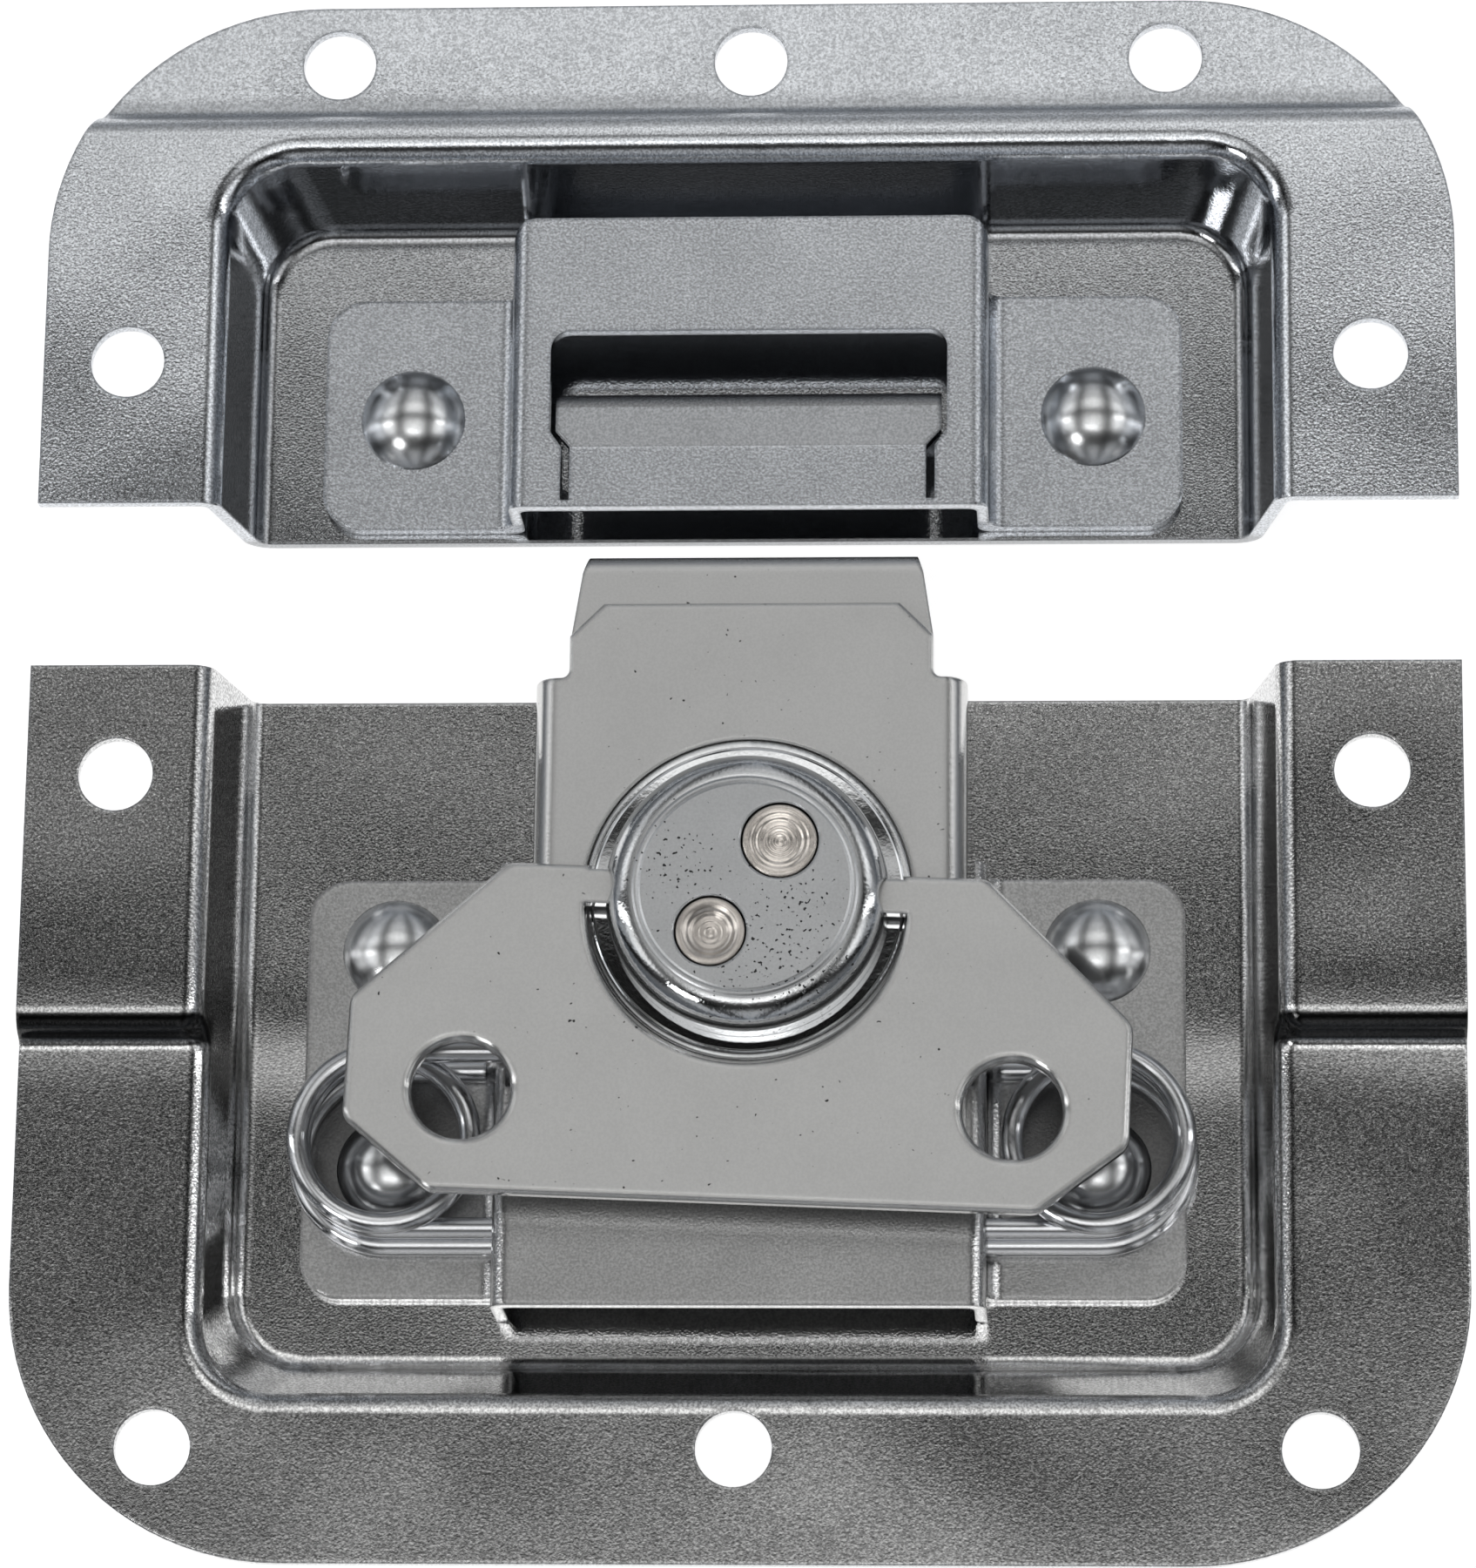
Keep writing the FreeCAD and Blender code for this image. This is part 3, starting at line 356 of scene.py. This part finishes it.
# %% Finishes of sheet, rivets and wire
COOL, PLAIN, BRIGHT = (0.60, 0.62, 0.65), (0.63, 0.63, 0.63), (0.70, 0.71, 0.72)
FINISHES = {
    "rivet": plated("rivet plating", BRIGHT, 0.22, (0.5, 0.004), (6, 0.05), grain=0.03),
    "wing": plated("wing plating", (0.675, 0.673, 0.665), 0.46, (0.3, 0.004), (24, 0.2), 0.02,
                   edge=0.5, edge_rough=0.10, grain=0.03),
    "claw": plated("claw plating", (0.66, 0.658, 0.652), 0.46, (0.3, 0.004), (24, 0.2), 0.02,
                   edge=0.5, edge_rough=0.10, grain=0.03),
    "wire": plated("spring wire", (0.75, 0.76, 0.78), 0.08, (0.3, 0.001), (6, 0.02), grain=0.02),
}
print("plain finishes", sorted(FINISHES))

# %% [markdown]
# Forming left marks with a place of their own. The latch flange sags a little beside its step, and the
# catch flange is dull along its softer step. Such marks are formulas of the part's own coordinates in
# millimetres, and each one adds a bump, a tone or a roughness to the plain finish. The tones are painted
# light: a painted reflection makes the latch dish floor paler, and painted shade darkens a line along the
# latch step, the catch dish floor, the dipping tongue and the base plate round the coils.

# %% Marks with a place
DISH_FLOOR = -7
LATCH_SAG_ROW, LATCH_CREASE_ROW, CATCH_DULL_ROW = -27.8, -27.1, 43.4
COIL_RIVETS = ((-25.9, -35.0), (25.9, -35.0))


def millimetres(tree, x=-1900):
    """The three Object coordinates in millimetres."""
    where = add_node(tree, "ShaderNodeTexCoord", x - 400).outputs["Object"]
    scaled = add_node(tree, "ShaderNodeVectorMath", x - 200, operation="SCALE")
    scaled.inputs["Scale"].default_value = 1 / MM
    link(tree, where, scaled.inputs[0])
    split = add_node(tree, "ShaderNodeSeparateXYZ", x)
    link(tree, scaled.outputs[0], split.inputs[0])
    return split.outputs


def distance_from(tree, middle, x=-1400):
    """Distance in millimetres from an upright line through a place, in Object coordinates."""
    where = add_node(tree, "ShaderNodeTexCoord", x - 600).outputs["Object"]
    scaled = add_node(tree, "ShaderNodeVectorMath", x - 400, operation="MULTIPLY")
    scaled.inputs[1].default_value = (1 / MM, 1 / MM, 0)
    link(tree, where, scaled.inputs[0])
    moved = add_node(tree, "ShaderNodeVectorMath", x - 200, operation="DISTANCE")
    moved.inputs[1].default_value = (*middle, 0)
    link(tree, scaled.outputs[0], moved.inputs[0])
    return moved.outputs["Value"]


def soft_step(tree, along, place, length, slope):
    """Height of a smooth step, steepest at its place, from a hyperbolic tangent."""
    share = calculate(tree, "DIVIDE", calculate(tree, "SUBTRACT", along, place), length)
    return calculate(tree, "MULTIPLY", calculate(tree, "TANH", share, 0), slope * length)


def band(tree, along, place, half):
    """One at a place, falling to zero at the given distance to either side."""
    away = calculate(tree, "ABSOLUTE", calculate(tree, "SUBTRACT", along, place), 0)
    share = calculate(tree, "SUBTRACT", 1, calculate(tree, "DIVIDE", away, half))
    return calculate(tree, "MAXIMUM", share, 0)


def add_marks(material, height, reach=1.0):
    """Put one more bump, of the given reach in millimetres, on top of a finish."""
    tree = material.node_tree
    shader = tree.nodes["Principled BSDF"]
    below = shader.inputs["Normal"].links[0].from_socket
    link(tree, raise_by(tree, height, reach, below, -150), shader.inputs["Normal"])


def tint(material, share, tone):
    """Mix the colour of a finish towards a tone by a share."""
    tree = material.node_tree
    shader = tree.nodes["Principled BSDF"]
    colour = shader.inputs["Base Color"].links[0].from_socket
    blend = add_node(tree, "ShaderNodeMix", -100, data_type="RGBA")
    blend.inputs[7].default_value = (tone, tone, tone, 1)
    link(tree, share, blend.inputs["Factor"])
    link(tree, colour, blend.inputs[6])
    link(tree, blend.outputs[2], shader.inputs["Base Color"])


def floor_share(tree, level):
    """One at a level and below it, as on the floor of a dish, and zero a millimetre above it."""
    low = calculate(tree, "SUBTRACT", level + 1, millimetres(tree)["Z"])
    return calculate(tree, "MINIMUM", calculate(tree, "MAXIMUM", low, 0), 1)


def near(tree, middle, reach):
    """One at an upright line through a place, zero from a millimetre beyond the reach."""
    share = calculate(tree, "SUBTRACT", reach + 1, distance_from(tree, middle))
    return calculate(tree, "MINIMUM", calculate(tree, "MAXIMUM", share, 0), 1)


def latch_finish():
    """Mirror plating with a sag beside the flange step, a dish floor made paler by a painted reflection and a
    painted dark line of shade along the step.
    """
    latch = plated("latch plating", PLAIN, 0.05, (0.18, 0.009), (26, 0.4), grain=0.35, edge_rough=0.04)
    tree = latch.node_tree
    add_marks(latch, soft_step(tree, millimetres(tree)["Y"], LATCH_SAG_ROW, 3.4, 0.05))
    # Painted reflection: the dish floor is tinted paler, standing in for the walls that it mirrors.
    tint(latch, calculate(tree, "MULTIPLY", floor_share(tree, DISH_FLOOR), 0.4), 0.85)
    place = millimetres(tree)
    above = calculate(tree, "MAXIMUM", calculate(tree, "ADD", place["Z"], 1), 0)
    above = calculate(tree, "MINIMUM", above, 1)
    # Painted shade: a near-black line along the flange step, only on the flange and not down in the dish.
    painted_step_shade = calculate(tree, "MULTIPLY", band(tree, place["Y"], LATCH_CREASE_ROW, 1.1), 3)
    painted_step_shade = calculate(tree, "MINIMUM", painted_step_shade, 0.95)
    tint(latch, calculate(tree, "MULTIPLY", painted_step_shade, above), 0.02)
    return latch


def catch_finish():
    """Mirror plating with a dull band along the flange step and a dish floor darkened by painted shade."""
    catch = plated("catch plating", COOL, 0.05, (0.18, 0.007), (26, 0.3), grain=0.24, edge_rough=0.05)
    tree = catch.node_tree
    dull = band(tree, millimetres(tree)["Y"], CATCH_DULL_ROW, 2.2)
    shader = tree.nodes["Principled BSDF"]
    rough = calculate(tree, "MULTIPLY_ADD", dull, 0.6)
    link(tree, shader.inputs["Roughness"].links[0].from_socket, rough.node.inputs[2])
    link(tree, calculate(tree, "MINIMUM", rough, 0.35), shader.inputs["Roughness"])
    # Painted shade: the dish floor is tinted darker, standing in for the shade that the dish walls cast on
    # it.
    tint(catch, calculate(tree, "MULTIPLY", floor_share(tree, DISH_FLOOR), 0.6), 0.25)
    return catch


def strike_finish():
    """Satin plate that darkens by five times the rear lean of its faces, a painted shade where the tongue
    dips.
    """
    strike = plated("strike plating", (0.57, 0.59, 0.62), 0.26, (0.2, 0.014), (20, 0.15), edge=0.5,
                    edge_rough=0.12, grain=0.2)
    tree = strike.node_tree
    facing = add_node(tree, "ShaderNodeSeparateXYZ", -1500)
    link(tree, add_node(tree, "ShaderNodeTexCoord", -1700).outputs["Normal"], facing.inputs[0])
    # Painted shade: faces that lean back, as on the dipping tongue, are tinted darker.
    painted_lean_shade = calculate(tree, "MULTIPLY", calculate(tree, "MAXIMUM", facing.outputs["Y"], 0), 5)
    tint(strike, calculate(tree, "MINIMUM", painted_lean_shade, 0.7), 0.15)
    return strike


def base_finish():
    """Satin plate, darker where the coils shade and mirror themselves round the rear rivets."""
    base = plated("base plating", (0.53, 0.53, 0.53), 0.28, (0.2, 0.014), (20, 0.15), edge=0.5,
                  edge_rough=0.10, grain=0.16)
    tree = base.node_tree
    for middle in COIL_RIVETS:
        tint(base, calculate(tree, "MULTIPLY", near(tree, middle, 6.0), 0.8), 0.08)
    return base


FINISHES["latch"] = latch_finish()
FINISHES["catch"] = catch_finish()
FINISHES["base"] = base_finish()
FINISHES["strike"] = strike_finish()
print("dishes and plates", sorted(FINISHES))

# %% [markdown]
# The hub parts are turned and peened, so their marks run in rings about their own middles. The cap has
# a fine double line where its flat top begins, and the plating has small pits. The pins were swaged
# with a punch that left rings in their ends. Each pattern is a function of the distance from a middle
# in the part's own coordinates, added to the bump of the plain finish.

# %% Ring marks and pits
HUB_MIDDLE = (0.6, -17.6)
DRIVE_MIDDLE, PLAIN_MIDDLE = (3.075, -14.231), (-1.875, -20.969)
CAP_LINES, DISC_LINE = (7.75, 8.2), 11.35
PITTED = [((2.8, -22.6), 4.0), ((-4.5, -16.0), 2.6), ((4.6, -18.6), 1.8)]


def groove(tree, distance, radius, width):
    """Minus one at the radius, rising to zero at the given width to either side."""
    away = calculate(tree, "SUBTRACT", distance, radius)
    share = calculate(tree, "DIVIDE", calculate(tree, "ABSOLUTE", away, 0), width)
    dip = calculate(tree, "SUBTRACT", 1, share)
    return calculate(tree, "MULTIPLY", calculate(tree, "MAXIMUM", dip, 0), -1)


def rings(tree, distance, pitch, fade):
    """Waves of the given pitch, fading out at a distance."""
    wave = calculate(tree, "SINE", calculate(tree, "MULTIPLY", distance, 2 * math.pi / pitch), 0)
    left = calculate(tree, "SUBTRACT", 1, calculate(tree, "DIVIDE", distance, fade))
    return calculate(tree, "MULTIPLY", wave, calculate(tree, "MAXIMUM", left, 0))


def pits(tree, middle, reach, size, rarity=0.6):
    """One in small spots that crowd round a place and thin out at a reach, in millimetres."""
    where = add_node(tree, "ShaderNodeTexCoord", -2000).outputs["Object"]
    grain = noise(tree, where, size, 1.0, -1600)
    crowd = calculate(tree, "DIVIDE", distance_from(tree, middle), reach)
    rare = calculate(tree, "MULTIPLY_ADD", crowd, 0.07)
    rare.node.inputs[2].default_value = rarity
    spot = calculate(tree, "SUBTRACT", grain, rare)
    spot = calculate(tree, "MAXIMUM", calculate(tree, "MULTIPLY", spot, 22), 0)
    return calculate(tree, "MINIMUM", spot, 1)


def cap_finish():
    """Drawn cup with two fine grooves where its flat top ends, and three crowds of pits."""
    cap = plated("drawn cap", (0.62, 0.63, 0.64), 0.36, (0.3, 0.010), (6, 0.05), edge_rough=0.06, grain=0.04)
    tree = cap.node_tree
    apart = distance_from(tree, HUB_MIDDLE)
    lines = calculate(tree, "ADD", *(groove(tree, apart, radius, 0.16) for radius in CAP_LINES))
    add_marks(cap, lines, 0.07)
    for middle, reach in PITTED:
        spots = pits(tree, middle, reach, 0.34)
        add_marks(cap, calculate(tree, "MULTIPLY", spots, -1), 0.02)
        tint(cap, spots, 0.06)
    return cap


def disc_finish():
    """Turned disc with one groove, its rear half bent down by the square of the distance behind the hub."""
    disc = plated("turned disc", (0.70, 0.71, 0.72), 0.06, (0.3, 0.002), (10, 0.03), grain=0.02)
    tree = disc.node_tree
    add_marks(disc, groove(tree, distance_from(tree, HUB_MIDDLE), DISC_LINE, 0.12), 0.05)
    behind = calculate(tree, "MAXIMUM", calculate(tree, "SUBTRACT", millimetres(tree)["Y"], HUB_MIDDLE[1]), 0)
    add_marks(disc, calculate(tree, "MULTIPLY", calculate(tree, "MULTIPLY", behind, behind), -0.0022))
    return disc


def pin_finish(name, middle, pitch, reach, rough):
    """Raw peened steel with rings of a pitch and a height round the pin's middle."""
    pin = plated(name, (0.74, 0.69, 0.64), rough, (0.5, 0.012), (1.6, 0.05), 0.15, grain=0.04)
    apart = distance_from(pin.node_tree, middle)
    add_marks(pin, rings(pin.node_tree, apart, pitch, 3.2), reach)
    return pin


print("hub at", HUB_MIDDLE, "pins at", DRIVE_MIDDLE, PLAIN_MIDDLE)

# %% Finishes of the turning parts
for name in ("wing", "claw"):
    tint(FINISHES[name], pits(FINISHES[name].node_tree, HUB_MIDDLE, 60, 0.45, 0.735), 0.06)
FINISHES["cap"] = cap_finish()
FINISHES["disc"] = disc_finish()
FINISHES["drive"] = pin_finish("drive pin end", DRIVE_MIDDLE, 0.42, 0.018, 0.24)
FINISHES["plain"] = pin_finish("plain pin end", PLAIN_MIDDLE, 0.42, 0.025, 0.3)
print("all finishes", sorted(FINISHES))

# %% [markdown]
# Every solid of the CAD model gets the finish of the real piece. The meshes themselves stay as they are.

# %% Hand the finishes out
WEARS = {
    "latch_dish": "latch", "catch_dish": "catch", "base_plate": "base", "catch_plate": "strike",
    "base_rivet_lu": "rivet", "base_rivet_ll": "rivet", "base_rivet_ru": "rivet",
    "base_rivet_rl": "rivet", "catch_rivet_l": "rivet", "catch_rivet_r": "rivet",
    "tension_spring": "wire", "spring_loop": "wire", "claw_channel": "claw", "hook_plate": "claw",
    "cam_disc": "disc", "hub_cap": "cap", "drive_pin": "drive", "plain_pin": "plain",
    "pin_washer": "drive", "butterfly_wing": "wing",
}
for name, finish in WEARS.items():
    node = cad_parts[name]
    node.data.materials.clear()
    node.data.materials.append(FINISHES[finish])
print("finished", len(WEARS), "of", len(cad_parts), "nodes")
